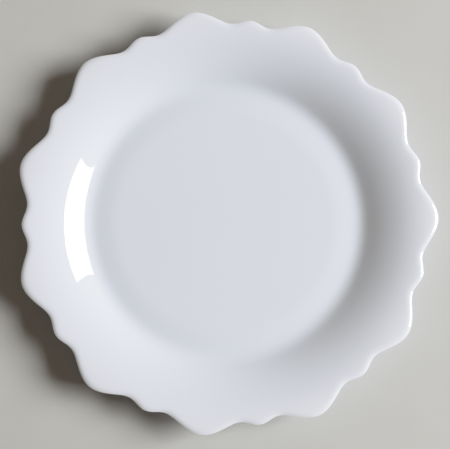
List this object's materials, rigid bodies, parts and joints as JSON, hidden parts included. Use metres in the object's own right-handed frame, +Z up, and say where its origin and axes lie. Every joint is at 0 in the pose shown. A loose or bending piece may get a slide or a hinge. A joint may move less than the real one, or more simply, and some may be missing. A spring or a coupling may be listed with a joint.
{
  "type": "bread and butter plate",
  "caption": "Small white glazed plate with a scalloped rim of large and small rounded lobes, a round well and a foot ring.",
  "frame": {"origin": "on the plate's axis, at the plane of the foot ring's resting face", "axes": "+Z up along the plate's axis, +X towards the tip of a large lobe"},
  "size_m": [0.1633, 0.1646, 0.0143],
  "materials": {
    "bare_clay": "matte",
    "white_glaze": "gloss"
  },
  "bodies": {
    "root": {"clay_body": "bare_clay", "glaze_coat": "white_glaze", "base_glaze": "white_glaze"}
  },
  "joints": []
}
